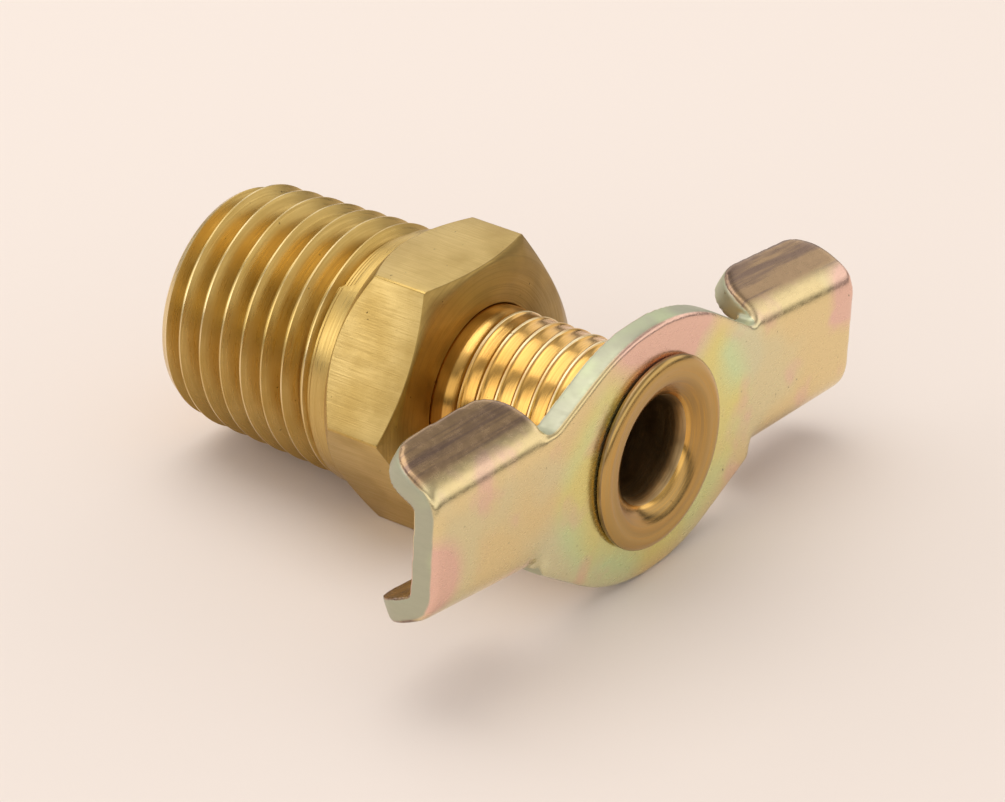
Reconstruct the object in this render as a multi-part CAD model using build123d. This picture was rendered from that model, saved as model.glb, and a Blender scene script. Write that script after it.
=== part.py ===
"""Drain cock for an air tank, lying on one hexagon flat with its valve axis along +X.

The origin is on the valve axis where the hexagon corners begin. +X points from the
pipe thread to the wing handle and +Z is up. Sizes are in millimetres. The valve is
shown shut, with the stem drawn out and its sealing ring against the seat.
"""
import math
import os

from build123d import *

# Hexagon and pipe thread of the body
HEX_FLATS = 14.2875
HEX_EDGE_START = 0.14
HEX_EDGE_END = 3.32
HEX_FACE_RADIUS = 7.14
HEX_FACE_SLOPE = 30.0
LAND_RADIUS = 7.05
LAND_START = -2.0
PIPE_END = -12.8
PIPE_END_RADIUS = 6.1
PIPE_CREST_SMALL = 6.627
PIPE_TAPER = 1 / 32
PIPE_CHAMFER_LENGTH = 1.1

# Stem, its sealing head and the seat it shuts against
STEM_THREAD_RADIUS = 4.6
STEM_CLEARANCE = 0.08
STEM_THREAD_LEAD_IN = 0.9
STEM_BORE_RADIUS = 2.75
DRILL_POINT = 118.0
NECK_RADIUS = 3.45
NECK_LENGTH = 4.4
HEAD_RADIUS = 4.95
HEAD_THICKNESS = 0.8
HEAD_BREAK = 0.25
SEAT_RADIUS = 5.15
SEAT_DEPTH = 1.8
PORT_RADIUS = 1.2
PORT_WALL = 0.4
BORE_MOUTH_CHAMFER = 0.1

# Rubber ring under the stem head, with a 45 degree face towards the seat
RING_RADIUS = 5.0
RING_TIP_RADIUS = 4.35
RING_EDGE = 0.75
RING_GAP = 0.05

# Wing handle, pressed from one sheet
SHEET = 1.4
HANDLE_FRONT = 14.8
HANDLE_ANGLE = -4.8
CENTRE_HEIGHT = 14.25
CENTRE_LENGTH = 18.4
STAKE_RADIUS = 3.9
WING_LENGTH = 18.35
WING_TAPER = 2.0
WING_RISE = 0.65
WING_FLAT_HALF = 2.4
WEB_HALF_WIDTH = 3.7
WEB_FILLET = 0.8
BEND_INNER_RADIUS = 0.4
FOLD_ANGLE = 65.0
FLANGE_LENGTH = 2.7
FLANGE_CORNER = 2.2

# Rolled-over end of the stem in front of the handle
RIM_RADIUS = 5.27
RIM_HEIGHT = 0.65
RIM_ROUND = 0.35
MOUTH_RADIUS = 4.35
MOUTH_DEPTH = 1.9

HEX_CORNER = HEX_FLATS / math.sqrt(3)
HEX_FACE = HEX_EDGE_END + (HEX_CORNER - HEX_FACE_RADIUS) * math.tan(math.radians(HEX_FACE_SLOPE))
HEX_BACK = HEX_EDGE_START - (HEX_CORNER - LAND_RADIUS)
BODY_BORE = STEM_THREAD_RADIUS + STEM_CLEARANCE
HANDLE_BACK = HANDLE_FRONT - SHEET
WING_START = CENTRE_LENGTH / 2

SEAT_START = PIPE_END + SEAT_DEPTH

# Along the axis: the ring's front face, its edge and back, then the stem's head and neck
RING_SLOPE = SEAT_START + SEAT_RADIUS - RING_GAP * math.sqrt(2)
RING_BACK = RING_SLOPE - RING_RADIUS - RING_EDGE
HEAD_BACK = RING_BACK - RING_GAP
HEAD_END = HEAD_BACK - HEAD_THICKNESS
NECK_END = HEAD_BACK + NECK_LENGTH
PORT_POSITION = NECK_END - PORT_WALL - PORT_RADIUS
STEM_BORE_END = PORT_POSITION - PORT_RADIUS / 2


def turned(points):
    """Turn a closed outline of (position along the axis, radius) about the valve axis."""
    outline = make_face(Polyline(*points, close=True))
    return revolve(outline, Axis.X, 360)


def pipe_crest(x):
    """Crest radius of the tapered pipe thread at a position along the axis."""
    return PIPE_CREST_SMALL + (x - PIPE_END) * PIPE_TAPER


def make_body():
    """Hexagon, pipe thread shank, stem bore and seat in one turned piece."""
    chamfer_end = PIPE_END + PIPE_CHAMFER_LENGTH
    shank = turned([
        (PIPE_END, 0),
        (PIPE_END, PIPE_END_RADIUS),
        (chamfer_end, pipe_crest(chamfer_end)),
        (LAND_START, pipe_crest(LAND_START)),
        (LAND_START, LAND_RADIUS),
        (HEX_EDGE_START, LAND_RADIUS),
        (HEX_EDGE_START, 0),
    ])
    hexagon = Plane.YZ.offset(HEX_BACK) * RegularPolygon(HEX_CORNER, 6)
    prism = extrude(hexagon, HEX_FACE - HEX_BACK)
    turned_ends = turned([
        (HEX_BACK, 0),
        (HEX_BACK, LAND_RADIUS),
        (HEX_EDGE_START, HEX_CORNER),
        (HEX_EDGE_END, HEX_CORNER),
        (HEX_FACE, HEX_FACE_RADIUS),
        (HEX_FACE, 0),
    ])
    cavity = turned([
        (PIPE_END, 0),
        (PIPE_END, SEAT_RADIUS),
        (SEAT_START, SEAT_RADIUS),
        (SEAT_START + SEAT_RADIUS - BODY_BORE, BODY_BORE),
        (HEX_FACE - BORE_MOUTH_CHAMFER, BODY_BORE),
        (HEX_FACE, BODY_BORE + BORE_MOUTH_CHAMFER),
        (HEX_FACE, 0),
    ])
    return shank + (prism & turned_ends) - cavity


def make_stem():
    """Hollow stem from the sealing head to the end rolled over the handle."""
    rim_top = HANDLE_FRONT + RIM_HEIGHT
    drill_length = STEM_BORE_RADIUS / math.tan(math.radians(DRILL_POINT / 2))
    bell_start = rim_top - MOUTH_DEPTH
    with BuildPart() as stem:
        with BuildSketch(Plane.XY):
            with BuildLine():
                rim_foot = RIM_RADIUS - RIM_ROUND
                Polyline(
                    (STEM_BORE_END - drill_length, 0),
                    (HEAD_END, 0),
                    (HEAD_END, HEAD_RADIUS - HEAD_BREAK),
                    (HEAD_END + HEAD_BREAK, HEAD_RADIUS),
                    (HEAD_BACK, HEAD_RADIUS),
                    (HEAD_BACK, NECK_RADIUS),
                    (NECK_END, NECK_RADIUS),
                    (NECK_END + STEM_THREAD_LEAD_IN, STEM_THREAD_RADIUS),
                    (HANDLE_BACK, STEM_THREAD_RADIUS),
                    (HANDLE_BACK, STAKE_RADIUS),
                    (HANDLE_FRONT, STAKE_RADIUS),
                    (HANDLE_FRONT, rim_foot),
                )
                rim_side = HANDLE_FRONT + RIM_HEIGHT / 2
                ThreePointArc(
                    (HANDLE_FRONT, rim_foot),
                    (rim_side, RIM_RADIUS),
                    (rim_top, rim_foot),
                )
                Line((rim_top, rim_foot), (rim_top, MOUTH_RADIUS))
                bell = Spline(
                    (rim_top, MOUTH_RADIUS),
                    (bell_start, STEM_BORE_RADIUS),
                    tangents=((-0.55, -1), (-1, 0)),
                )
                Polyline(
                    bell @ 1,
                    (STEM_BORE_END, STEM_BORE_RADIUS),
                    (STEM_BORE_END - drill_length, 0),
                )
            make_face()
        revolve(axis=Axis.X)
    port = Location((PORT_POSITION, 0, 0), (90, 0, 0)) * Cylinder(PORT_RADIUS, 2 * HEAD_RADIUS)
    return stem.part - port


def make_ring():
    """Rubber ring that the stem head presses against the sloping seat."""
    return turned([
        (RING_BACK, NECK_RADIUS + RING_GAP),
        (RING_BACK, RING_RADIUS),
        (RING_SLOPE - RING_RADIUS, RING_RADIUS),
        (RING_SLOPE - RING_TIP_RADIUS, RING_TIP_RADIUS),
        (RING_SLOPE - RING_TIP_RADIUS, NECK_RADIUS + RING_GAP),
    ])


def step(start, direction, length):
    """Point reached from a start point by going a length in a direction."""
    return (start[0] + direction[0] * length, start[1] + direction[1] * length)


def folded_edge(side):
    """Section of one folded long edge of a wing: the bend, then the straight flange."""
    outer_radius = BEND_INNER_RADIUS + SHEET
    centre = (side * WING_FLAT_HALF, HANDLE_FRONT - outer_radius)
    fold = math.radians(FOLD_ANGLE)
    front = (0, 1)
    halfway = (side * math.sin(fold / 2), math.cos(fold / 2))
    outward = (side * math.sin(fold), math.cos(fold))
    flange = (side * math.cos(fold), -math.sin(fold))
    outer_bend = step(centre, outward, outer_radius)
    inner_bend = step(centre, outward, BEND_INNER_RADIUS)
    outline = [
        ThreePointArc(
            step(centre, front, outer_radius),
            step(centre, halfway, outer_radius),
            outer_bend,
        ),
        Polyline(
            outer_bend,
            step(outer_bend, flange, FLANGE_LENGTH),
            step(inner_bend, flange, FLANGE_LENGTH),
            inner_bend,
        ),
        ThreePointArc(
            inner_bend,
            step(centre, halfway, BEND_INNER_RADIUS),
            step(centre, front, BEND_INNER_RADIUS),
        ),
        Line(step(centre, front, BEND_INNER_RADIUS), step(centre, front, outer_radius)),
    ]
    return make_face(outline)


def folded_strip(side):
    """One folded edge run along its bend line, which leans in towards the wing's end."""
    across = Plane(origin=(0, 0, 0), x_dir=(0, 0, 1), z_dir=(0, 1, 0))
    strip = extrude(across * folded_edge(side), 2 * WING_LENGTH)
    pivot = Location((0, WING_START, side * WING_FLAT_HALF))
    turn = Location((0, 0, 0), (-side * WING_TAPER, 0, 0))
    return pivot * turn * Location((0, -WING_START, -side * WING_FLAT_HALF)) * strip


def wing():
    """One wing: a tapering strip whose two long edges are folded back towards the body."""
    length = WING_LENGTH - WING_START
    end_half = WING_FLAT_HALF - length * math.tan(math.radians(WING_TAPER))
    outline = Polyline(
        (WING_START, -WING_FLAT_HALF),
        (WING_LENGTH, -end_half),
        (WING_LENGTH, end_half),
        (WING_START, WING_FLAT_HALF),
        close=True,
    )
    flat = extrude(Plane.YZ.offset(HANDLE_BACK) * make_face(outline), SHEET)
    reach = Location((HANDLE_BACK, WING_START + length / 2, 0)) * Box(
        4 * FLANGE_LENGTH, length, 4 * CENTRE_HEIGHT)
    strip = flat + (folded_strip(1) & reach) + (folded_strip(-1) & reach)
    bend_back = HANDLE_BACK - BEND_INNER_RADIUS
    free_corners = [
        edge for edge in strip.edges()
        if abs(edge.length - SHEET) < SHEET / 50 and edge.center().X < bend_back
        and abs(edge.center().Z) > WING_FLAT_HALF + BEND_INNER_RADIUS
    ]
    rounded = fillet(free_corners, min(FLANGE_CORNER, 0.9 * FLANGE_LENGTH))
    return Location((0, 0, WING_RISE)) * rounded


def make_handle():
    """Oval centre and two folded wings from one sheet; the wings stand a little above the hole."""
    with BuildPart() as plate:
        with BuildSketch(Plane.YZ.offset(HANDLE_BACK)):
            Ellipse(CENTRE_LENGTH / 2, CENTRE_HEIGHT / 2)
            with Locations((0, WING_RISE / 2)):
                Rectangle(2 * WING_START, 2 * WEB_HALF_WIDTH)
            Circle(STAKE_RADIUS, mode=Mode.SUBTRACT)
        extrude(amount=SHEET)
        inner_corners = [
            edge for edge in plate.edges().filter_by(Axis.X)
            if WING_START / 2 < abs(edge.center().Y) < 0.99 * WING_START
        ]
        fillet(inner_corners, WEB_FILLET)
    first = wing()
    second = mirror(first, about=Plane.XZ)
    return Rotation(HANDLE_ANGLE, 0, 0) * (plate.part + first + second)


os.makedirs("parts", exist_ok=True)
for name, piece in (
    ("valve_body", make_body()),
    ("stem", make_stem()),
    ("seal_ring", make_ring()),
    ("wing_handle", make_handle()),
):
    export_step(piece, f"parts/{name}.step")
    box = piece.bounding_box()
    print(name, len(piece.solids()), round(piece.volume, 1), box.min, box.max)
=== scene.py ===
"""Dressed model of a brass drain cock: body, screwed stem, sealing ring and wing handle."""
import math

import bpy
from mathutils import Matrix, Vector


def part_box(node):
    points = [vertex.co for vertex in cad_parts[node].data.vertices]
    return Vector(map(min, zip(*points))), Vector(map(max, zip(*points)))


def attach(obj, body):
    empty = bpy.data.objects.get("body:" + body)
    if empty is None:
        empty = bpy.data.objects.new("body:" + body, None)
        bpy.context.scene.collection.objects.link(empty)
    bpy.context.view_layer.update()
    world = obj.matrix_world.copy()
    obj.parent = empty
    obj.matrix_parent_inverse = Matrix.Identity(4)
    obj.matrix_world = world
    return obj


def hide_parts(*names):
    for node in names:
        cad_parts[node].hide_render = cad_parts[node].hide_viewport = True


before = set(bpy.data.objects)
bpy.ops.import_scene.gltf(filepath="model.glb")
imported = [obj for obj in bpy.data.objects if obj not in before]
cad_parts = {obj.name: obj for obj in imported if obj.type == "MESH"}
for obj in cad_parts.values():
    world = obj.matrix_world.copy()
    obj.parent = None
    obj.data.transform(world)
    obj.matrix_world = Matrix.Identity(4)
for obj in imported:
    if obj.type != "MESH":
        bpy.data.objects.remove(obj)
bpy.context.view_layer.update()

bl_info = {
    "name": "Drain Cock",
    "version": (1, 0, 0),
    "blender": (4, 5, 0),
    "location": "View3D > Sidebar > Drain Cock",
    "description": "Builds a brass drain cock with a folded wing handle",
    "category": "Add Mesh",
}

MM = 0.001
TURN_STEPS = 144
CORNER_STEPS = 4
SMOOTH_ANGLE = 28
AXIS_X = (1.0, 0.0, 0.0)
THREAD_BLANK = 4 * MM
FAR = 99 * MM

# Body: thread, run-out and land
PIPE_TAPER = 1 / 32
PIPE_CREST_FLAT = 0.09 * MM
PIPE_ROOT_FLAT = 0.1 * MM
PIPE_FLANK = [(0.12, 0.12), (0.5, 0.5), (0.88, 0.9)]
SHANK_END = -1.2 * MM
SHANK_BLANK_END = -1.1 * MM
SHANK_ROUND = 0.12 * MM
RUN_OUT_RINGS = 5
RUN_OUT_BACK = 1.25
RUN_OUT_STEP = 0.25
RUN_OUT_FOOT = 6.3
RUN_OUT_TOP = 6.42
RUN_OUT_GROWTH = 0.11
RUN_OUT_WIDTH = 0.1 * MM
LAND_ROUND = 0.03 * MM
LAND_STEP = 0.5 * MM
LAND_STEP_FROM = 56
LAND_STEP_TO = 235
SEAT_MOUTH = 0.25 * MM
BORE_CLEARANCE = 0.04 * MM
HEX_CORNER_BEVEL = 0.1 * MM
HEX_EDGE_BEVEL = 0.05 * MM
HEX_EDGE_LIMIT = 35
FLAT_REACH = 7.1 * MM
CHAMFER_INNER = 6 * MM
WORN_CREST = 0.02 * MM

# Stem: thread, head, rim and bell mouth
STEM_CREST_FLAT = 0.1 * MM
STEM_ROOT_FLAT = 0.45 * MM
STEM_FLANK = [(0.1, 0.35), (0.25, 0.65), (0.5, 0.86), (0.78, 0.96)]
STEM_LEAD = 1.25
STEM_PLAIN = 0.7 * MM
STEM_PLAIN_FADE = 0.4 * MM
STEM_ROUND = 0.16 * MM
STEM_WORN_CREST = 0.045 * MM
HEAD_CHAMFER = 0.25 * MM
RIM_LIFT = 0.06 * MM
DRILL_POINT = 59
BELL_STEPS = 12
BELL_CURVE = 3.4
PORT_STEPS = 48
PORT_LENGTH = 12 * MM
BELL_SHADE = (3.5 * MM, 4.6 * MM)

# Sealing ring
RING_CLEARANCE = 0.05 * MM
RING_EDGE = 0.75 * MM
RING_SLOPE = 0.65 * MM
RING_ROUND = 0.15 * MM

# Handle: rounding and plating
EDGE_ROUNDS = 5
FRONT_ROUNDS = 60
OVAL_HALF_LENGTH = 9.2 * MM
OVAL_HALF_HEIGHT = 7.1 * MM
# Span along the axis over which the painted reflection on the folds fades in, from the front
# towards the back.
FOLD_REFLECTION_SPAN = (14.1 * MM, 13.4 * MM)
SPECK = (0.25, 0.2, 0.13)
ROSE_PLACES = (
    ((0.0148, -0.0005, 0.0066), 0.0040),
    ((0.0148, 0.0030, 0.0060), 0.0034),
    ((0.0146, -0.0182, 0.0010), 0.0028),
    ((0.0148, 0.0182, 0.0015), 0.0026),
)
GREEN_PLACES = (
    ((0.0148, 0.0078, 0.0024), 0.0030),
    ((0.0148, -0.0085, -0.0024), 0.0036),
    ((0.0148, -0.0035, -0.0062), 0.0034),
)

# Stage
FLOOR_STEPS = 96
FLOOR_RADIUS = 3.0
WORLD_STRENGTH = 1.25
WORLD_STOPS = (
    (0.0, 0.12), (0.11, 0.14), (0.24, 1.0), (0.5, 0.92), (0.62, 0.25), (0.8, 0.45), (1.0, 1.0),
)
LAMP_TINT = (1.0, 0.97, 0.93)
LAMPS = (
    ("overhead_soft", (-0.16, 0.05, 0.42), 0.40, 0.60),
    ("side_soft", (-0.30, -0.30, 0.22), 0.28, 0.24),
)
CAMERA_RIGHT = (0.7992, 0.6011, 0.0)
CAMERA_UP = (-0.2937, 0.3905, 0.8725)
CAMERA_BACK = (0.5243, -0.6974, 0.4886)
CAMERA_PLACE = (0.13555, -0.17341, 0.12114)
CAMERA_SENSOR = 36.0
CAMERA_LENS = 171.9
CAMERA_CLIP = 0.005


def length(label, text, millimetres):
    """A size that a user may change, kept in metres."""
    return bpy.props.FloatProperty(
        name=label, description=text, default=millimetres * MM, unit="LENGTH", precision=6)


def angle(label, text, degrees):
    """An angle that a user may change, kept in radians."""
    return bpy.props.FloatProperty(
        name=label, description=text, default=math.radians(degrees), unit="ROTATION")


def colour(label, text, rgb):
    """A colour that a user may change."""
    return bpy.props.FloatVectorProperty(
        name=label, description=text, default=rgb, size=3, subtype="COLOR", min=0, max=1)


class DrainCockSizes(bpy.types.PropertyGroup):
    """Sizes of the drain cock."""

    hex_flats: length("Hexagon flats", "Hexagon size across its flats", 14.2875)
    hex_back: length("Hexagon back", "Where the back chamfer of the hexagon begins", -1.059)
    hex_edge_start: length("Edge start", "Where the corner edges begin", 0.14)
    hex_edge_end: length("Edge end", "Where the corner edges end", 3.32)
    hex_face: length("Hexagon face", "Front face of the hexagon", 3.96)
    hex_face_radius: length("Face radius", "Radius of the hexagon's turned front face", 6.95)
    land_start: length("Land start", "Where the turned land begins", -2.0)
    land_radius: length("Land radius", "Radius of the turned land", 7.05)
    pipe_end: length("Pipe end", "Tank end of the pipe thread", -12.8)
    pipe_end_radius: length("Pipe end radius", "Radius at the tank end's chamfer", 6.1)
    pipe_crest: length("Pipe crest", "Crest radius at the tank end", 6.627)
    pipe_chamfer: length("Pipe chamfer", "Length of the tank end's chamfer", 1.1)
    pipe_pitch: length("Pipe pitch", "Pitch of the pipe thread", 1.4111)
    pipe_depth: length("Pipe depth", "Depth of the pipe thread", 0.9)
    pipe_phase: length("Pipe phase", "Shift of the pipe thread along the axis", 1.387)
    seat_radius: length("Seat radius", "Radius of the seat pocket", 5.15)
    seat_start: length("Seat start", "Where the sloping seat begins", -11.0)
    bore_break: length("Bore break", "Broken edge of the stem bore at the hexagon face", 0.05)
    stem_crest: length("Stem crest", "Crest radius of the stem thread", 4.6)
    stem_pitch: length("Stem pitch", "Pitch of the stem thread", 1.0583)
    stem_phase: length("Stem phase", "Shift of the stem thread along the axis", 0.0)
    stem_depth: length("Stem depth", "Depth of the stem thread", 0.11)
    stem_bore: length("Stem bore", "Radius of the drain bore", 2.75)
    neck_radius: length("Neck radius", "Radius of the neck behind the head", 3.45)
    neck_end: length("Neck end", "Where the neck meets the stem thread", -7.3207)
    head_radius: length("Head radius", "Radius of the sealing head", 4.95)
    head_end: length("Head end", "Tank end of the sealing head", -12.5207)
    head_back: length("Head back", "Side of the head that carries the ring", -11.7207)
    port_radius: length("Port radius", "Radius of the cross port", 1.2)
    port_place: length("Port place", "Place of the cross port on the axis", -8.9207)
    handle_back: length("Handle back", "Back of the handle sheet", 13.4)
    handle_front: length("Handle front", "Front of the handle sheet", 14.8)
    stake_radius: length("Stake radius", "Radius of the stem inside the handle", 3.9)
    rim_radius: length("Rim radius", "Radius of the rolled rim", 5.27)
    rim_top: length("Rim top", "Top of the rolled rim", 15.45)
    mouth_radius: length("Mouth radius", "Radius of the bell mouth at the rim", 4.2)
    mouth_depth: length("Mouth depth", "Depth of the bell mouth", 1.9)
    sheet_round: length("Sheet rounding", "Depth of the rounding of the front edges", 0.45)
    sheet_grain: length("Sheet grain", "Grid size of the handle's fused mesh", 0.11)
    shoulder_length: length("Shoulder length", "Length of the shoulder beside a wing", 4.42)
    shoulder_width: length("Shoulder width", "Width of the shoulder's strip", 2.0)
    shoulder_out: length("Shoulder out", "Middle of the shoulder's strip, along the wing", 6.79)
    shoulder_up: length("Shoulder up", "Middle of the shoulder's strip, above the hole", 3.87)
    shoulder_lean: angle("Shoulder lean", "Fall of the shoulder towards the wing", 28.8)
    wing_start: length("Wing start", "Where the wings begin, from the axis", 9.2)
    wing_rise: length("Wing rise", "How far the wings stand above the hole", 0.65)
    wing_flat_half: length("Wing flat half", "Half of a wing's flat width where it begins", 2.4)
    bend_centre: length("Bend centre", "Place of the folds' centre on the axis", 13.0)
    wing_taper: angle("Wing taper", "Lean of the folds towards the wing's end", 2.0)
    fold_angle: angle("Fold angle", "Angle that the long edges are folded back by", 65.0)
    handle_tilt: angle("Handle tilt", "Turn of the handle about the valve axis", 4.8)


class DrainCockColours(bpy.types.PropertyGroup):
    """Colours of the drain cock and its floor."""

    brass: colour("Brass", "Satin brass of the body", (0.6, 0.42, 0.145))
    brass_dark: colour("Brass, dull", "Dull patches on the body", (0.52, 0.345, 0.1))
    # Wear and painted highlight: this bright brass lightens the pipe thread's crests and the tank
    # end's chamfer.
    brass_bright: colour("Brass, worn", "Worn edges and crests", (0.82, 0.65, 0.36))
    stem: colour("Stem brass", "Bright turned stem", (0.78, 0.47, 0.14))
    stem_dark: colour("Stem brass, dull", "Dull marks on the stem", (0.62, 0.34, 0.08))
    # Wear and painted highlight: this near-white gold lightens the crests of the stem thread.
    crest: colour("Stem crests", "Worn crests of the stem thread", (0.98, 0.86, 0.56))
    rim: colour("Rim bronze", "Rolled rim", (0.5, 0.33, 0.12))
    # Painted shade: the bell colour darkens the bell mouth inside the rolled rim, blended in by
    # radius.
    bell: colour("Bell mouth", "Darker brass inside the rolled rim", (0.40, 0.25, 0.09))
    # Colour of the drain bore, darker than the stem; at the rim's outer foot, next to the handle,
    # the same colour is painted shade and dirt.
    bore: colour("Bore, stained", "Duller inside of the drain bore", (0.62, 0.42, 0.2))
    sheet: colour("Plating, yellow", "Yellow plating", (0.8, 0.71, 0.27))
    sheet_rose: colour("Plating, rose", "Rose patches of the plating", (0.82, 0.53, 0.42))
    sheet_green: colour("Plating, green", "Green patches of the plating", (0.66, 0.77, 0.42))
    sheet_edge: colour("Cut edge", "Pale cut edge of the sheet", (0.47, 0.47, 0.35))
    # Painted reflection: these two colours paint the dark brown reflection on the folded flanges,
    # with tan streaks of reflected light.
    sheet_fold_reflection: colour("Fold, stained", "Dull brown of the folded edges", (0.25, 0.165, 0.12))
    sheet_reflection_streak: colour("Fold, streak", "Tan streaks along the folded edges", (0.43, 0.285, 0.16))
    hexagon: colour("Hexagon flats", "Drawn flats of the hexagon", (0.68, 0.5, 0.2))
    hexagon_dark: colour("Hexagon marks", "Marks on the hexagon's flats", (0.5, 0.34, 0.11))
    # Painted shade: this darker brass paints the shade on the hexagon's front face and cone,
    # between the hexagon and the handle.
    face: colour("Hexagon face", "Turned front face of the hexagon", (0.44, 0.29, 0.09))
    rubber: colour("Rubber", "Sealing ring", (0.03, 0.03, 0.03))
    floor: colour("Floor", "Pale floor", (0.9, 0.805, 0.75))


def sizes():
    """The sizes in the scene."""
    return bpy.context.scene.drain_cock_sizes


def colours():
    """The colours in the scene."""
    return bpy.context.scene.drain_cock_colours


def deselect():
    """Object mode with nothing selected."""
    if bpy.context.object and bpy.context.mode != "OBJECT":
        bpy.ops.object.mode_set(mode="OBJECT")
    bpy.ops.object.select_all(action="DESELECT")


def choose(piece):
    """Make one piece the only selected and active one."""
    deselect()
    piece.select_set(True)
    bpy.context.view_layer.objects.active = piece


def rounded(points, setback):
    """Outline whose inner corners are replaced by short curves."""
    points = [Vector(p) for p in points]
    result = [points[0]]
    for before, corner, after in zip(points, points[1:], points[2:]):
        reach_in = min(setback, 0.45 * (before - corner).length)
        reach_out = min(setback, 0.45 * (after - corner).length)
        start = corner + (before - corner).normalized() * reach_in
        end = corner + (after - corner).normalized() * reach_out
        for i in range(CORNER_STEPS + 1):
            t = i / CORNER_STEPS
            result.append((1 - t) ** 2 * start + 2 * t * (1 - t) * corner + t * t * end)
    result.append(points[-1])
    return result


def draw_outline(name, points):
    """New object whose mesh is a chain of edges through (place on the axis, radius)."""
    deselect()
    bpy.ops.mesh.primitive_plane_add(size=MM)
    piece = bpy.context.object
    piece.name = name
    places = [Vector((p[0], 0.0, p[1])) for p in points]
    bpy.ops.object.mode_set(mode="EDIT")
    bpy.ops.mesh.select_mode(type="VERT")
    bpy.ops.mesh.select_all(action="SELECT")
    bpy.ops.mesh.merge(type="CENTER")
    bpy.ops.transform.translate(value=places[0])
    for here, there in zip(places, places[1:]):
        bpy.ops.mesh.extrude_vertices_move(TRANSFORM_OT_translate={"value": there - here})
    bpy.ops.object.mode_set(mode="OBJECT")
    return piece


def close_up(piece):
    """Merge what lies together and turn the faces outwards."""
    choose(piece)
    bpy.ops.object.mode_set(mode="EDIT")
    bpy.ops.mesh.select_all(action="SELECT")
    bpy.ops.mesh.remove_doubles(threshold=1e-7)
    bpy.ops.mesh.normals_make_consistent(inside=False)
    bpy.ops.object.mode_set(mode="OBJECT")
    return piece


def turn(name, points):
    """Solid turned about the valve axis from an outline of (place, radius)."""
    piece = draw_outline(name, points)
    bpy.ops.object.mode_set(mode="EDIT")
    bpy.ops.mesh.select_all(action="SELECT")
    bpy.ops.mesh.spin(steps=TURN_STEPS, angle=2 * math.pi, center=(0, 0, 0), axis=AXIS_X)
    bpy.ops.object.mode_set(mode="OBJECT")
    return close_up(piece)


def combine(piece, tool, operation):
    """Join, cut or limit a closed piece by another, which is used up."""
    choose(piece)
    bpy.ops.object.modifier_add(type="BOOLEAN")
    modifier = piece.modifiers[-1]
    modifier.operation = operation
    modifier.solver = "MANIFOLD"
    modifier.object = tool
    before = len(piece.data.polygons)
    bpy.ops.object.modifier_apply(modifier=modifier.name)
    if len(piece.data.polygons) in (0, before):
        raise RuntimeError(f"{piece.name} could not be combined with {tool.name}: {operation}")
    bpy.data.objects.remove(tool, do_unlink=True)
    return piece


def groove(pitch, depth, crest, root, flank):
    """Outline of one thread turn, from the middle of a crest to the next, as (shift, drop)."""
    half = pitch / 2
    run = half - crest / 2 - root / 2
    side = [(0.0, 0.0), (crest / 2, 0.0)]
    side += [(crest / 2 + run * a, depth * b) for a, b in flank]
    side += [(half - root / 2, depth * 0.99), (half, depth)]
    return side + [(pitch - a, b) for a, b in reversed(side[:-1])]


def wind_thread(name, start, end, pitch, shape, surface):
    """Closed right-hand thread; surface gives the radius from place, groove and drop."""
    turns = math.ceil((end - start) / pitch) + 3
    first = start - 2 * pitch
    piece = draw_outline(name, [(first + shift, THREAD_BLANK + drop) for shift, drop in shape])
    choose(piece)
    bpy.ops.object.modifier_add(type="SCREW")
    screw = piece.modifiers[-1]
    screw.axis = "X"
    screw.angle = 2 * math.pi
    screw.screw_offset = pitch
    screw.iterations = turns
    screw.steps = TURN_STEPS
    screw.render_steps = TURN_STEPS
    screw.use_merge_vertices = False
    bpy.ops.object.modifier_apply(modifier=screw.name)
    close_up(piece)
    for vertex in piece.data.vertices:
        place = vertex.co
        radius = math.hypot(place.y, place.z)
        wound = pitch * (math.atan2(-place.y, place.z) % (2 * math.pi)) / (2 * math.pi)
        middle = place.x - (place.x - first - wound - shape[0][0]) % pitch + pitch / 2
        new_radius = surface(place.x, middle, radius - THREAD_BLANK)
        vertex.co.y *= new_radius / radius
        vertex.co.z *= new_radius / radius
    for place, outwards in ((start, -1), (end, 1)):
        choose(piece)
        bpy.ops.object.mode_set(mode="EDIT")
        bpy.ops.mesh.select_all(action="SELECT")
        bpy.ops.mesh.bisect(
            plane_co=(place, 0, 0), plane_no=(outwards, 0, 0), use_fill=True, clear_outer=True,
            threshold=1e-8)
        bpy.ops.object.mode_set(mode="OBJECT")
    return close_up(piece)


def dress(piece, body, node):
    """Give a finished piece its smooth shading and its body, and hide the node that it stands for.
    """
    choose(piece)
    bpy.ops.object.shade_smooth_by_angle(angle=math.radians(SMOOTH_ANGLE))
    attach(piece, body)
    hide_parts(node)


def link_group(name, inputs, outputs):
    """New shader group with its sockets; gives the group and its two ends."""
    group = bpy.data.node_groups.new(name, "ShaderNodeTree")
    for kind, label, value in inputs:
        socket = group.interface.new_socket(label, in_out="INPUT", socket_type=kind)
        if value is not None:
            socket.default_value = value
    for kind, label in outputs:
        group.interface.new_socket(label, in_out="OUTPUT", socket_type=kind)
    return group, group.nodes.new("NodeGroupInput"), group.nodes.new("NodeGroupOutput")


def node(tree, kind, values=None, **links):
    """New node with its settings and its linked or fixed inputs."""
    made = tree.nodes.new(kind)
    for key, value in (values or {}).items():
        setattr(made, key, value)
    for label, value in links.items():
        key = int(label[1:]) if label[0] == "_" else label.replace("_", " ")
        if isinstance(value, bpy.types.NodeSocket):
            tree.links.new(value, made.inputs[key])
        else:
            made.inputs[key].default_value = value
    return made


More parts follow.
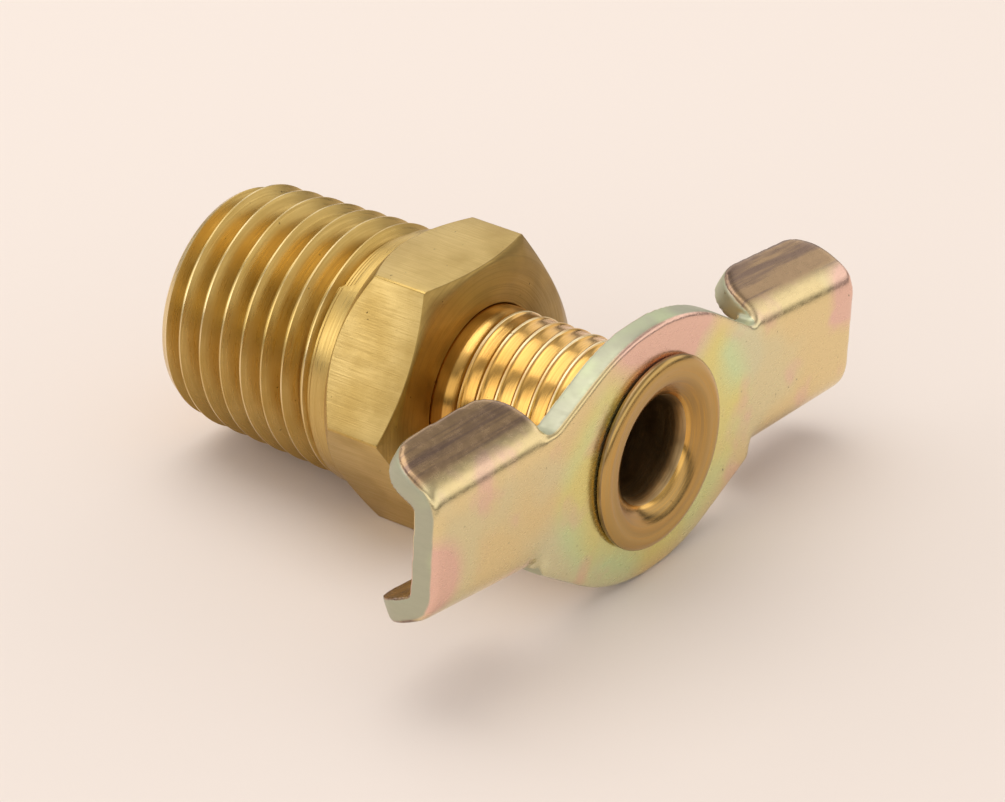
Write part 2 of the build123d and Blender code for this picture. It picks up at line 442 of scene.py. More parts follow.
def mix(tree, factor, first, second):
    """Colour mixed from two colours by a factor."""
    made = node(tree, "ShaderNodeMix", {"data_type": "RGBA"})
    for index, value in ((0, factor), (6, first), (7, second)):
        if isinstance(value, bpy.types.NodeSocket):
            tree.links.new(value, made.inputs[index])
        elif index == 0:
            made.inputs[index].default_value = value
        else:
            made.inputs[index].default_value = (*value, 1.0)
    return made.outputs[2]


def spread(tree, value, low, high, to_low=0.0, to_high=1.0):
    """Value stretched from one range to another, held at its ends."""
    made = node(tree, "ShaderNodeMapRange", {"interpolation_type": "SMOOTHSTEP"}, Value=value,
                From_Min=low, From_Max=high, To_Min=to_low, To_Max=to_high)
    return made.outputs[0]


def turning_marks_group():
    """Fine rings that a lathe leaves, on cylinders, cones and faces alike."""
    group, start, end = link_group(
        "turning marks",
        [("NodeSocketVector", "Vector", None), ("NodeSocketFloat", "Density", 9000.0)],
        [("NodeSocketFloat", "Mark")])
    parts = node(group, "ShaderNodeSeparateXYZ", _0=start.outputs["Vector"])
    flat = node(group, "ShaderNodeCombineXYZ", Y=parts.outputs["Y"], Z=parts.outputs["Z"])
    radius = node(group, "ShaderNodeVectorMath", {"operation": "LENGTH"}, _0=flat.outputs[0])
    turned = node(group, "ShaderNodeCombineXYZ", X=parts.outputs["X"], Y=radius.outputs["Value"])
    fine = node(group, "ShaderNodeVectorMath", {"operation": "SCALE"},
                _0=turned.outputs[0], Scale=start.outputs["Density"])
    drift = node(group, "ShaderNodeVectorMath", {"operation": "SCALE"},
                 _0=flat.outputs[0], Scale=250.0)
    place = node(group, "ShaderNodeVectorMath", {"operation": "ADD"},
                 _0=fine.outputs[0], _1=drift.outputs[0])
    noise = node(group, "ShaderNodeTexNoise", Vector=place.outputs[0], Scale=1.0, Detail=4.0,
                 Roughness=0.65)
    group.links.new(noise.outputs[0], end.inputs["Mark"])
    return group


def drawn_marks_group():
    """Long fine scratches along the axis, as on drawn hexagon bar."""
    group, start, end = link_group(
        "drawn marks",
        [("NodeSocketVector", "Vector", None),
         ("NodeSocketVector", "Stretch", (380.0, 15000.0, 15000.0))],
        [("NodeSocketFloat", "Mark")])
    place = node(group, "ShaderNodeVectorMath", {"operation": "MULTIPLY"},
                 _0=start.outputs["Vector"], _1=start.outputs["Stretch"])
    noise = node(group, "ShaderNodeTexNoise", Vector=place.outputs[0], Scale=1.0, Detail=5.0,
                 Roughness=0.7)
    group.links.new(noise.outputs[0], end.inputs["Mark"])
    return group


def tarnish_group():
    """Soft patches of tarnish, and small dark specks."""
    group, start, end = link_group(
        "tarnish",
        [("NodeSocketVector", "Vector", None), ("NodeSocketFloat", "Patch Scale", 260.0),
         ("NodeSocketFloat", "Speck Scale", 3000.0)],
        [("NodeSocketFloat", "Patch"), ("NodeSocketFloat", "Speck")])
    patch = node(group, "ShaderNodeTexNoise", Vector=start.outputs["Vector"],
                 Scale=start.outputs["Patch Scale"], Detail=3.0, Roughness=0.55)
    speck = node(group, "ShaderNodeTexNoise", Vector=start.outputs["Vector"],
                 Scale=start.outputs["Speck Scale"], Detail=2.0, Roughness=0.5)
    group.links.new(spread(group, patch.outputs[0], 0.36, 0.68), end.inputs["Patch"])
    group.links.new(spread(group, speck.outputs[0], 0.735, 0.79), end.inputs["Speck"])
    return group


def shared(name, make):
    """A shader group, made the first time that it is asked for."""
    return bpy.data.node_groups.get(name) or make()


def new_material(name):
    """Empty material with its shader and Object coordinates."""
    material = bpy.data.materials.new(name)
    material.use_nodes = True
    tree = material.node_tree
    shader = tree.nodes["Principled BSDF"]
    where = tree.nodes.new("ShaderNodeTexCoord").outputs["Object"]
    return material, tree, shader, where


def marks_of(tree, where, drawn, density):
    """Machining marks: drawn along the axis, or turned about it."""
    if drawn:
        group = shared("drawn marks", drawn_marks_group)
    else:
        group = shared("turning marks", turning_marks_group)
    made = node(tree, "ShaderNodeGroup", {"node_tree": group}, Vector=where)
    if not drawn:
        made.inputs["Density"].default_value = density
    return made.outputs["Mark"]


def brass_material(name, light, dark, drawn=False, density=9000.0, rough=(0.24, 0.42), bump=0.35,
                   tint=None):
    """Brass with machining marks, tarnish and specks; tint colours what lies past a place, its
    inner colour painting shade towards the axis.
    """
    material, tree, shader, where = new_material(name)
    mark = marks_of(tree, where, drawn, density)
    spots = node(tree, "ShaderNodeGroup", {"node_tree": shared("tarnish", tarnish_group)},
                 Vector=where)
    patch, speck = spots.outputs["Patch"], spots.outputs["Speck"]
    base = mix(tree, patch, light, dark)
    if tint:
        # The inner colour is painted shade, darkening the rolled rim towards the axis inside the
        # bell mouth.
        rgb, inner, place, (low, high) = tint
        parts = node(tree, "ShaderNodeSeparateXYZ", _0=where)
        flat = node(tree, "ShaderNodeCombineXYZ", Y=parts.outputs["Y"], Z=parts.outputs["Z"])
        radius = node(tree, "ShaderNodeVectorMath", {"operation": "LENGTH"}, _0=flat.outputs[0])
        rolled = mix(tree, spread(tree, radius.outputs["Value"], low, high), inner, rgb)
        beyond = spread(tree, parts.outputs["X"], place, place + 0.08 * MM)
        base = mix(tree, beyond, base, rolled)
    shade = mix(tree, spread(tree, mark, 0.42, 0.66, 0.0, 0.5), base, dark)
    specked = mix(tree, speck, shade, tuple(0.35 * c for c in dark))
    tree.links.new(specked, shader.inputs["Base Color"])
    tree.links.new(spread(tree, mark, 0.3, 0.72, *rough), shader.inputs["Roughness"])
    shader.inputs["Metallic"].default_value = 1.0
    relief = node(tree, "ShaderNodeBump", Strength=bump, Distance=0.03 * MM, Height=mark)
    tree.links.new(relief.outputs[0], shader.inputs["Normal"])
    return material


def patch_at(tree, where, place, radius):
    """Soft round mask about a place."""
    away = node(tree, "ShaderNodeVectorMath", {"operation": "DISTANCE"}, _0=where, _1=place)
    return spread(tree, away.outputs["Value"], 0.25 * radius, radius, 1.0, 0.0)


def add_up(tree, first, second):
    """Sum of two masks, held at one."""
    made = node(tree, "ShaderNodeMath", {"operation": "ADD", "use_clamp": True},
                _0=first, _1=second)
    return made.outputs[0]


def plating_material(name):
    """Yellow plating with rose and green patches, a painted reflection on the folds and pale cut
    edges.
    """
    ink = colours()
    material, tree, shader, where = new_material(name)
    spots = node(tree, "ShaderNodeGroup", {"node_tree": shared("tarnish", tarnish_group)},
                 Vector=where, Patch_Scale=170.0, Speck_Scale=3400.0)
    cloud = node(tree, "ShaderNodeTexNoise", Vector=where, Scale=330.0, Detail=2.5, Roughness=0.5)
    veil = node(tree, "ShaderNodeTexNoise", Vector=where, Scale=150.0, Detail=2.0, Roughness=0.5)
    drawn = shared("drawn marks", drawn_marks_group)
    scratch = node(tree, "ShaderNodeGroup", {"node_tree": drawn}, Vector=where,
                   Stretch=(900.0, 1500.0, 5200.0)).outputs["Mark"]
    streak = node(tree, "ShaderNodeGroup", {"node_tree": drawn}, Vector=where,
                  Stretch=(1400.0, 25.0, 500.0)).outputs["Mark"]
    parts = node(tree, "ShaderNodeSeparateXYZ", _0=where)
    across = node(tree, "ShaderNodeMath", {"operation": "DIVIDE"},
                  _0=parts.outputs["Y"], _1=OVAL_HALF_LENGTH)
    upright = node(tree, "ShaderNodeMath", {"operation": "DIVIDE"},
                   _0=parts.outputs["Z"], _1=OVAL_HALF_HEIGHT)
    oval = node(tree, "ShaderNodeCombineXYZ", X=across.outputs[0], Y=upright.outputs[0])
    rim = node(tree, "ShaderNodeVectorMath", {"operation": "LENGTH"}, _0=oval.outputs[0])
    border = spread(tree, rim.outputs["Value"], 0.8, 1.0, 0.0, 0.4)
    rose = add_up(tree, spread(tree, cloud.outputs[0], 0.54, 0.72, 0.0, 0.45), border)
    for place, radius in ROSE_PLACES:
        rose = add_up(tree, rose, patch_at(tree, where, place, radius))
    green = spread(tree, veil.outputs[0], 0.48, 0.66, 0.0, 0.6)
    for place, radius in GREEN_PLACES:
        green = add_up(tree, green, patch_at(tree, where, place, radius))
    film = mix(tree, green, ink.sheet, ink.sheet_green)
    film = mix(tree, rose, film, ink.sheet_rose)
    # Painted reflection on the folded edges: dark brown with tan streaks, strongest on the folds
    # and towards the back.
    tinted = mix(tree, spread(tree, streak, 0.42, 0.6), ink.sheet_fold_reflection, ink.sheet_reflection_streak)
    folded = node(tree, "ShaderNodeAttribute", {"attribute_name": "fold"}).outputs["Fac"]
    fold_reflection_mask = node(tree, "ShaderNodeMath", {"operation": "MULTIPLY"},
                 _0=spread(tree, folded, 0.2, 0.7),
                 _1=spread(tree, parts.outputs["X"], *FOLD_REFLECTION_SPAN))
    film = mix(tree, fold_reflection_mask.outputs[0], film, tinted)
    edge = node(tree, "ShaderNodeAttribute", {"attribute_name": "cut_edge"}).outputs["Fac"]
    pale = mix(tree, spread(tree, cloud.outputs[0], 0.45, 0.7, 0.0, 0.4),
               ink.sheet_edge, ink.sheet_green)
    film = mix(tree, spread(tree, edge, 0.45, 0.75), film, pale)
    film = mix(tree, spread(tree, scratch, 0.62, 0.8, 0.0, 0.14), film, ink.sheet_edge)
    film = mix(tree, spots.outputs["Speck"], film, SPECK)
    tree.links.new(film, shader.inputs["Base Color"])
    worn = node(tree, "ShaderNodeMath", {"operation": "ADD"},
                _0=spread(tree, scratch, 0.3, 0.7, 0.17, 0.3),
                _1=spread(tree, edge, 0.45, 0.75, 0.0, 0.22))
    tree.links.new(worn.outputs[0], shader.inputs["Roughness"])
    shader.inputs["Metallic"].default_value = 0.9
    relief = node(tree, "ShaderNodeBump", Strength=0.015, Distance=0.03 * MM, Height=scratch)
    tree.links.new(relief.outputs[0], shader.inputs["Normal"])
    return material


def rubber_material(name):
    """Matt rubber with moulding grain and a little dust."""
    ink = colours()
    material, tree, shader, where = new_material(name)
    spots = node(tree, "ShaderNodeGroup", {"node_tree": shared("tarnish", tarnish_group)},
                 Vector=where)
    grain = node(tree, "ShaderNodeTexNoise", Vector=where, Scale=5000.0, Detail=3.0)
    dust = mix(tree, spread(tree, spots.outputs["Patch"], 0.2, 1.0, 0.0, 0.35), ink.rubber,
               tuple(3.5 * c for c in ink.rubber))
    tree.links.new(dust, shader.inputs["Base Color"])
    tree.links.new(spread(tree, grain.outputs[0], 0.3, 0.7, 0.55, 0.8), shader.inputs["Roughness"])
    relief = node(tree, "ShaderNodeBump", Strength=0.3, Distance=0.02 * MM, Height=grain.outputs[0])
    tree.links.new(relief.outputs[0], shader.inputs["Normal"])
    return material


def floor_material(name):
    """Pale paper floor with a faint tone."""
    ink = colours()
    material, tree, shader, where = new_material(name)
    tone = node(tree, "ShaderNodeTexNoise", Vector=where, Scale=9.0, Detail=2.0)
    tree.links.new(mix(tree, tone.outputs[0], ink.floor, tuple(0.97 * c for c in ink.floor)),
                   shader.inputs["Base Color"])
    shader.inputs["Roughness"].default_value = 0.9
    shader.inputs["Specular IOR Level"].default_value = 0.1
    return material


class DRAINCOCK_OT_body(bpy.types.Operator):
    """Threaded body with its hexagon, land, seat and bore"""

    bl_idname = "draincock.body"
    bl_label = "Valve Body"

    def threaded_shank(self, size):
        """Tapered pipe thread that runs out before the land."""
        last = size.land_start + 0.2 * size.pipe_pitch

        def surface(place, middle, drop):
            fade = min(1.0, max(0.0, (last - middle) / (0.3 * size.pipe_pitch) + 1.0))
            return size.pipe_crest + (place - size.pipe_end) * PIPE_TAPER - drop * fade

        shape = groove(
            size.pipe_pitch, size.pipe_depth, PIPE_CREST_FLAT, PIPE_ROOT_FLAT, PIPE_FLANK)
        shape = [(shift + size.pipe_phase, drop) for shift, drop in shape]
        shank = wind_thread(
            "pipe_thread", size.pipe_end, SHANK_END, size.pipe_pitch, shape, surface)
        chamfer_end = size.pipe_end + size.pipe_chamfer
        blank = turn("shank_blank", rounded([
            (size.pipe_end, 0),
            (size.pipe_end, size.pipe_end_radius),
            (chamfer_end, size.pipe_crest + size.pipe_chamfer * PIPE_TAPER),
            (SHANK_BLANK_END, size.land_radius),
            (SHANK_BLANK_END, 0),
        ], SHANK_ROUND))
        return combine(shank, blank, "INTERSECT")

    def hexagon(self, size):
        """Hexagon with bevelled corner edges and turned chamfers at both ends."""
        corner = size.hex_flats / math.sqrt(3)
        deep = size.hex_face - size.hex_back
        deselect()
        bpy.ops.mesh.primitive_cylinder_add(vertices=6, radius=corner, depth=deep)
        piece = bpy.context.object
        piece.name = "hexagon"
        piece.rotation_euler = (0, math.pi / 2, 0)
        piece.location = ((size.hex_face + size.hex_back) / 2, 0, 0)
        bpy.ops.object.transform_apply(location=True, rotation=True, scale=True)
        if max(abs(v.co.z) for v in piece.data.vertices) > 0.99 * corner:
            piece.rotation_euler = (math.pi / 6, 0, 0)
            bpy.ops.object.transform_apply(location=True, rotation=True, scale=True)
        bpy.ops.object.mode_set(mode="EDIT")
        bpy.ops.mesh.select_mode(type="EDGE")
        bpy.ops.mesh.select_all(action="DESELECT")
        bpy.ops.object.mode_set(mode="OBJECT")
        ends = piece.data.vertices
        for edge in piece.data.edges:
            first, second = (ends[i].co for i in edge.vertices)
            edge.select = abs(first.x - second.x) > 0.9 * deep
        bpy.ops.object.mode_set(mode="EDIT")
        bpy.ops.mesh.bevel(offset=HEX_CORNER_BEVEL, segments=3, affect="EDGES")
        bpy.ops.object.mode_set(mode="OBJECT")
        close_up(piece)
        blank = turn("hexagon_blank", [
            (size.hex_back, 0),
            (size.hex_back, size.land_radius),
            (size.hex_edge_start, corner),
            (size.hex_edge_end, corner),
            (size.hex_face, size.hex_face_radius),
            (size.hex_face, 0),
        ])
        return combine(piece, blank, "INTERSECT")

    def execute(self, context):
        size, ink = sizes(), colours()
        body = self.hexagon(size)
        choose(body)
        bpy.ops.object.modifier_add(type="BEVEL")
        bevel = body.modifiers[-1]
        bevel.width = HEX_EDGE_BEVEL
        bevel.segments = 2
        bevel.limit_method = "ANGLE"
        bevel.angle_limit = math.radians(HEX_EDGE_LIMIT)
        bevel.use_clamp_overlap = False
        bpy.ops.object.modifier_apply(modifier=bevel.name)
        close_up(body)
        rings = []
        for i in range(RUN_OUT_RINGS):
            ring = size.land_start - (RUN_OUT_BACK - RUN_OUT_STEP * i) * MM
            rings += [(ring, (RUN_OUT_FOOT + RUN_OUT_GROWTH * i) * MM),
                      (ring + RUN_OUT_WIDTH, (RUN_OUT_TOP + RUN_OUT_GROWTH * i) * MM)]
        land = turn("land", rounded([(rings[0][0], 0)] + rings + [
            (size.land_start, rings[-1][1]),
            (size.land_start, size.land_radius),
            (size.hex_edge_start, size.land_radius),
            (size.hex_edge_start, 0),
        ], LAND_ROUND))
        for vertex in land.data.vertices:
            around = math.degrees(math.atan2(vertex.co.z, -vertex.co.y)) % 360
            at_back = vertex.co.x < size.land_start + 0.2 * MM
            if at_back and LAND_STEP_FROM < around < LAND_STEP_TO:
                vertex.co.x += LAND_STEP
        combine(body, land, "UNION")
        combine(body, self.threaded_shank(size), "UNION")
        bore = size.stem_crest + BORE_CLEARANCE
        slope = size.seat_radius - bore
        cavity = turn("cavity", [
            (size.pipe_end - MM, 0),
            (size.pipe_end - MM, size.seat_radius + SEAT_MOUTH),
            (size.pipe_end, size.seat_radius + SEAT_MOUTH),
            (size.pipe_end + SEAT_MOUTH, size.seat_radius),
            (size.seat_start, size.seat_radius),
            (size.seat_start + slope, bore),
            (size.hex_face - size.bore_break, bore),
            (size.hex_face, bore + size.bore_break),
            (size.hex_face + MM, bore + size.bore_break),
            (size.hex_face + MM, 0),
        ])
        combine(body, cavity, "DIFFERENCE")
        body.name = "valve_body_threaded"
        turned = brass_material("body brass, turned", ink.brass, ink.brass_dark, bump=0.14)
        drawn = brass_material("body brass, drawn hexagon", ink.hexagon, ink.hexagon_dark,
                               drawn=True, rough=(0.32, 0.48), bump=0.4)
        # The faced end's darker colour is painted shade between the hexagon and the handle.
        faced = brass_material("body brass, faced end, painted shade", ink.face, tuple(0.7 * c for c in ink.face),
                               rough=(0.28, 0.42))
        # Crests and the tank end's chamfer get worn brass, lightened further as a painted
        # highlight.
        worn = brass_material("body brass, worn edge, painted highlight", ink.brass_bright, ink.brass,
                              rough=(0.2, 0.34))
        body.data.materials.clear()
        for material in (turned, drawn, worn, faced):
            body.data.materials.append(material)
        for face in body.data.polygons:
            out = face.normal
            radius = math.hypot(face.center.y, face.center.z)
            on_flat = any(
                abs(out.y * math.sin(a) + out.z * math.cos(a)) > 0.999
                and abs(face.center.y * math.sin(a) + face.center.z * math.cos(a)) > FLAT_REACH
                for a in (0, math.pi / 3, -math.pi / 3))
            # Pipe thread crests and the tank end's chamfer take the worn brass with its painted
            # highlight.
            crest = size.pipe_crest + (face.center.x - size.pipe_end) * PIPE_TAPER
            on_crest = face.center.x < size.land_start and abs(radius - crest) < WORN_CREST
            near_end = face.center.x < size.pipe_end + size.pipe_chamfer
            on_end = out.x < -0.3 and near_end and radius > CHAMFER_INNER
            # on_face picks the hexagon's front face and cone, which take the painted shade.
            on_face = out.x > 0.3 and face.center.x > size.hex_edge_end - 2 * MM
            face.material_index = 1 if on_flat else 2 if on_crest or on_end else 3 if on_face else 0
        dress(body, "valve_body", "valve_body")
        return {"FINISHED"}


class DRAINCOCK_OT_stem(bpy.types.Operator):
    """Hollow screwed stem with its sealing head and rolled rim"""

    bl_idname = "draincock.stem"
    bl_label = "Stem"

    def execute(self, context):
        size, ink = sizes(), colours()
        core = turn("stem_core", rounded([
            (size.head_end, 0),
            (size.head_end, size.head_radius - HEAD_CHAMFER),
            (size.head_end + HEAD_CHAMFER, size.head_radius),
            (size.head_back, size.head_radius),
            (size.head_back, size.neck_radius),
            (size.handle_back - 0.6 * MM, size.neck_radius),
            (size.handle_back - 0.5 * MM, size.stake_radius),
            (size.handle_front + RIM_LIFT, size.stake_radius),
            (size.handle_front + RIM_LIFT, size.rim_radius - 0.12 * MM),
            (size.handle_front + 0.3 * MM, size.rim_radius),
            (size.rim_top - 0.14 * MM, size.rim_radius - 0.16 * MM),
            (size.rim_top, size.rim_radius - 0.5 * MM),
            (size.rim_top - 0.07 * MM, size.mouth_radius + 0.2 * MM),
            (size.rim_top - 0.07 * MM, 0),
        ], STEM_ROUND))

        def surface(place, middle, drop):
            lead = size.neck_radius + (place - size.neck_end) * STEM_LEAD
            away = abs(place - size.hex_face) - STEM_PLAIN
            plain = min(1.0, max(0.0, away / STEM_PLAIN_FADE))
            return max(size.neck_radius * 1.01, min(lead, size.stem_crest) - drop * plain)

        shape = groove(
            size.stem_pitch, size.stem_depth, STEM_CREST_FLAT, STEM_ROOT_FLAT, STEM_FLANK)
        shape = [(shift + size.stem_phase, drop) for shift, drop in shape]
        thread = wind_thread(
            "stem_thread", size.neck_end, size.handle_back, size.stem_pitch, shape, surface)
        combine(core, thread, "UNION")
        drill = size.stem_bore / math.tan(math.radians(DRILL_POINT))
        bore_end = size.port_place - size.port_radius / 2
        bell_start = size.rim_top - size.mouth_depth
        bell = []
        for i in range(BELL_STEPS + 1):
            t = i / BELL_STEPS
            flare = (size.mouth_radius - size.stem_bore) * t ** BELL_CURVE
            bell.append((bell_start + size.mouth_depth * t, size.stem_bore + flare))
        bore = turn("drain_bore", [(bore_end - drill, 0), (bore_end, size.stem_bore)] + bell + [
            (size.rim_top + MM, size.mouth_radius + 0.6 * MM),
            (size.rim_top + MM, 0),
        ])
        combine(core, bore, "DIFFERENCE")
        deselect()
        bpy.ops.mesh.primitive_cylinder_add(
            vertices=PORT_STEPS, radius=size.port_radius, depth=PORT_LENGTH,
            location=(size.port_place, 0, 0), rotation=(math.pi / 2, 0, 0))
        port = bpy.context.object
        bpy.ops.object.transform_apply(location=True, rotation=True, scale=True)
        combine(core, close_up(port), "DIFFERENCE")
        core.name = "stem_rolled"
        # Past the handle's front the stem takes the rim's colour, darkened by painted shade towards
        # the bell mouth.
        turned = brass_material("stem brass, turned", ink.stem, ink.stem_dark, density=12000.0,
                                rough=(0.13, 0.26), bump=0.2,
                                tint=(ink.rim, ink.bell, size.handle_front, BELL_SHADE))
        # Stem thread crests get worn brass, lightened further as a painted highlight.
        worn = brass_material("stem brass, worn crest, painted highlight", ink.crest, ink.stem, rough=(0.3, 0.4))
        core.data.materials.clear()
        core.data.materials.append(turned)
        core.data.materials.append(worn)
        # The bore takes a darker brass; the rim's outer foot takes it too, as painted shade and
        # dirt where the rim meets the handle.
        core.data.materials.append(brass_material(
            "stem brass, stained bore", ink.bore, tuple(0.4 * c for c in ink.bore),
            rough=(0.35, 0.5)))
        for face in core.data.polygons:
            radius = math.hypot(face.center.y, face.center.z)
            # Crests of the stem thread take the worn brass with its painted highlight.
            in_thread = size.hex_face + MM < face.center.x < size.handle_back
            on_crest = in_thread and abs(radius - size.stem_crest) < STEM_WORN_CREST
            in_bore = radius < size.stem_bore + 0.2 * MM and face.center.x > bore_end - drill
            # at_foot: the rim's outer flank next to the handle, darkened as painted shade and dirt.
            under_top = face.center.x < size.rim_top - 0.2 * MM
            at_foot = radius > size.rim_radius - 0.08 * MM and under_top
            face.material_index = 1 if on_crest else 2 if in_bore or at_foot else 0
        dress(core, "stem", "stem")
        return {"FINISHED"}


class DRAINCOCK_OT_seal(bpy.types.Operator):
    """Rubber sealing ring under the stem's head"""

    bl_idname = "draincock.seal"
    bl_label = "Sealing Ring"

    def execute(self, context):
        low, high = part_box("seal_ring")
        inner = sizes().neck_radius + RING_CLEARANCE
        outer, tip = high.z, high.z - RING_SLOPE
        corners = [
            (low.x, (inner + outer) / 2), (low.x, outer), (low.x + RING_EDGE, outer),
            (high.x, tip), (high.x, inner), (low.x, inner), (low.x, (inner + outer) / 2),
        ]
        ring = turn("seal_ring_moulded", rounded(corners, RING_ROUND))
        ring.data.materials.append(rubber_material("seal rubber, moulded"))
        dress(ring, "seal_ring", "seal_ring")
        return {"FINISHED"}


class DRAINCOCK_OT_handle(bpy.types.Operator):
    """Wing handle with rounded sheet edges"""

    bl_idname = "draincock.handle"
    bl_label = "Wing Handle"

    def section(self, size, place):
        """Fold angle of the sheet at a point of the level handle, and the depth under its front."""
        half = FAR
        beside = place.z - size.wing_rise
        if abs(place.y) > size.wing_start:
            along = abs(place.y) - size.wing_start
            half = size.wing_flat_half - along * math.tan(size.wing_taper)
        reach = abs(beside) - half
        if reach <= 0:
            return 0.0, size.handle_front - place.x
        out = place.x - size.bend_centre
        folded = math.atan2(reach, out)
        bend = size.handle_front - size.bend_centre
        if folded < size.fold_angle:
            return math.copysign(folded, beside), bend - math.hypot(reach, out)
        depth = bend - out * math.cos(size.fold_angle) - reach * math.sin(size.fold_angle)
        return math.copysign(size.fold_angle, beside), depth

    def fuse_sheet(self, size, context):
        """The folded sheet and its straight shoulders at the folds' roots, as one even mesh."""
        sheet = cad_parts["wing_handle"].data.copy()
        handle = bpy.data.objects.new("wing_handle_folded", sheet)
        context.scene.collection.objects.link(handle)
        tilt = Matrix.Rotation(-size.handle_tilt, 4, "X")
        thick = size.handle_front - size.handle_back
        shoulders = []
        for side, above in ((-1, -1), (-1, 1), (1, -1), (1, 1)):
            deselect()
            bpy.ops.mesh.primitive_cube_add(size=1)
            shoulder = bpy.context.object
            shoulder.scale = (thick, size.shoulder_length, size.shoulder_width)
            shoulder.rotation_euler = (-side * above * size.shoulder_lean, 0, 0)
            shoulder.location = (size.handle_back + thick / 2, side * size.shoulder_out,
                                 above * size.shoulder_up)
            bpy.ops.object.transform_apply(location=True, rotation=True, scale=True)
            shoulder.data.transform(tilt)
            shoulders.append(shoulder)
        choose(handle)
        for shoulder in shoulders:
            shoulder.select_set(True)
        bpy.ops.object.join()
        close_up(handle)
        bpy.ops.object.modifier_add(type="REMESH")
        remesh = handle.modifiers[-1]
        remesh.mode = "VOXEL"
        remesh.voxel_size = size.sheet_grain
        bpy.ops.object.modifier_apply(modifier=remesh.name)
        return handle

    def roll_edges(self, size, handle, level):
        """Round the sheet's edges: widely at the front, and less behind."""
        passes = (("all", FAR, EDGE_ROUNDS), ("front", size.sheet_round, FRONT_ROUNDS))
        for name, deep, rounds in passes:
            group = handle.vertex_groups.new(name=name)
            for vertex in handle.data.vertices:
                depth = self.section(size, level @ vertex.co)[1]
                group.add([vertex.index], min(1.0, max(0.0, 2.0 - depth / deep)), "REPLACE")
            choose(handle)
            bpy.ops.object.modifier_add(type="SMOOTH")
            smooth = handle.modifiers[-1]
            smooth.factor = 0.5
            smooth.iterations = rounds
            smooth.vertex_group = name
            bpy.ops.object.modifier_apply(modifier=smooth.name)

    def execute(self, context):
        size = sizes()
        handle = self.fuse_sheet(size, context)
        level = Matrix.Rotation(size.handle_tilt, 3, "X")
        self.roll_edges(size, handle, level)
        for name in ("cut_edge", "fold"):
            handle.data.attributes.new(name, "FLOAT", "POINT")
        cut, fold = (handle.data.attributes[name] for name in ("cut_edge", "fold"))
        for vertex in handle.data.vertices:
            folded = self.section(size, level @ vertex.co)[0]
            out = level @ vertex.normal
            faced = abs(out.x * math.cos(folded) + out.z * math.sin(folded))
            cut.data[vertex.index].value = 1 - faced
            fold.data[vertex.index].value = abs(folded)
        handle.data.materials.clear()
        handle.data.materials.append(plating_material("plated sheet"))
        dress(handle, "stem", "wing_handle")
        return {"FINISHED"}


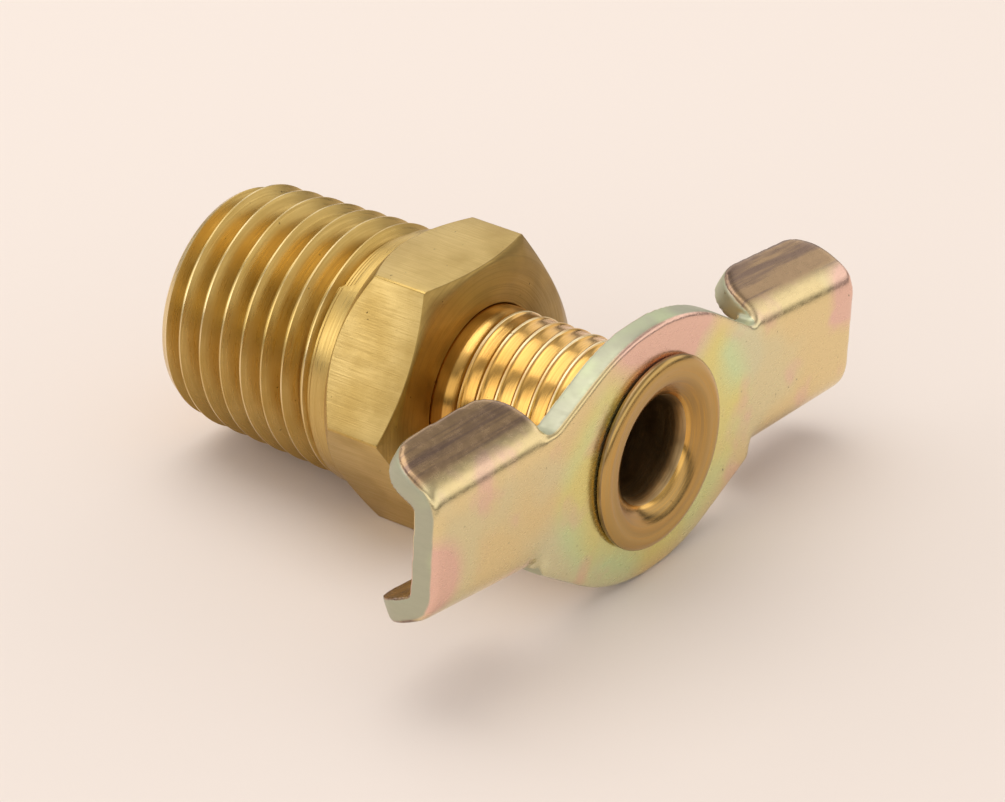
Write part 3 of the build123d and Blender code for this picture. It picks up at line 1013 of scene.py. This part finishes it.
class DRAINCOCK_OT_stage(bpy.types.Operator):
    """Pale floor, soft studio light and the camera"""

    bl_idname = "draincock.stage"
    bl_label = "Stage"

    def execute(self, context):
        scene = context.scene
        deselect()
        bpy.ops.mesh.primitive_circle_add(
            vertices=FLOOR_STEPS, radius=FLOOR_RADIUS, fill_type="NGON",
            location=(0, 0, -sizes().hex_flats / 2))
        floor = bpy.context.object
        floor.name = "floor"
        bpy.ops.object.transform_apply(location=True, rotation=True, scale=True)
        floor.data.materials.append(floor_material("pale floor"))
        self.light(scene)
        self.camera(scene)
        scene.view_settings.view_transform = "Standard"
        return {"FINISHED"}

    def light(self, scene):
        """Soft surroundings, one large lamp overhead and one at the side."""
        world = bpy.data.worlds.new("studio")
        scene.world = world
        world.use_nodes = True
        tree = world.node_tree
        tree.nodes.clear()
        where = tree.nodes.new("ShaderNodeTexCoord").outputs["Generated"]
        height = node(tree, "ShaderNodeSeparateXYZ", _0=where).outputs["Z"]
        ramp = tree.nodes.new("ShaderNodeValToRGB")
        while len(ramp.color_ramp.elements) < len(WORLD_STOPS):
            ramp.color_ramp.elements.new(0.5)
        for element, (place, level) in zip(ramp.color_ramp.elements, WORLD_STOPS):
            element.position = place
            element.color = (level, level * 0.97, level * 0.93, 1.0)
        tree.links.new(height, ramp.inputs[0])
        rays = tree.nodes.new("ShaderNodeLightPath")
        tint = mix(tree, rays.outputs["Is Camera Ray"], ramp.outputs[0], tuple(colours().floor))
        back = node(tree, "ShaderNodeBackground", Color=tint, Strength=WORLD_STRENGTH)
        out = tree.nodes.new("ShaderNodeOutputWorld")
        tree.links.new(back.outputs[0], out.inputs[0])
        for name, place, wide, power in LAMPS:
            lamp = bpy.data.lights.new(name, "AREA")
            lamp.size = wide
            lamp.energy = power
            lamp.color = LAMP_TINT
            stand = bpy.data.objects.new(name, lamp)
            scene.collection.objects.link(stand)
            aim = Vector((0, 0, 0)) - Vector(place)
            stand.location = place
            stand.rotation_euler = aim.to_track_quat("-Z", "Y").to_euler()

    def camera(self, scene):
        """Camera at the photograph's angle."""
        lens = bpy.data.cameras.new("camera")
        lens.sensor_width = CAMERA_SENSOR
        lens.lens = CAMERA_LENS
        lens.clip_start = CAMERA_CLIP
        eye = bpy.data.objects.new("camera", lens)
        scene.collection.objects.link(eye)
        aim = Matrix((CAMERA_RIGHT, CAMERA_UP, CAMERA_BACK)).transposed().to_4x4()
        eye.matrix_world = Matrix.Translation(CAMERA_PLACE) @ aim
        scene.camera = eye


class DRAINCOCK_PT_panel(bpy.types.Panel):
    """Builds the drain cock and lists its sizes and colours"""

    bl_idname = "DRAINCOCK_PT_panel"
    bl_label = "Drain Cock"
    bl_space_type = "VIEW_3D"
    bl_region_type = "UI"
    bl_category = "Drain Cock"

    def draw(self, context):
        for operator in STEPS:
            self.layout.operator(operator.bl_idname)
        for group in (sizes(), colours()):
            column = self.layout.column(align=True)
            for key in group.__annotations__:
                column.prop(group, key)


STEPS = (
    DRAINCOCK_OT_body,
    DRAINCOCK_OT_stem,
    DRAINCOCK_OT_seal,
    DRAINCOCK_OT_handle,
    DRAINCOCK_OT_stage,
)
CLASSES = (DrainCockSizes, DrainCockColours) + STEPS + (DRAINCOCK_PT_panel,)


def register():
    """Add the classes and the scene's sizes and colours."""
    for cls in CLASSES:
        bpy.utils.register_class(cls)
    bpy.types.Scene.drain_cock_sizes = bpy.props.PointerProperty(type=DrainCockSizes)
    bpy.types.Scene.drain_cock_colours = bpy.props.PointerProperty(type=DrainCockColours)


def unregister():
    """Take the classes and the scene's sizes and colours away again."""
    del bpy.types.Scene.drain_cock_colours
    del bpy.types.Scene.drain_cock_sizes
    for cls in reversed(CLASSES):
        bpy.utils.unregister_class(cls)


def main():
    """Build the drain cock on its stage."""
    register()
    bpy.ops.draincock.body()
    bpy.ops.draincock.stem()
    bpy.ops.draincock.seal()
    bpy.ops.draincock.handle()
    bpy.ops.draincock.stage()


if __name__ == "__main__":
    main()
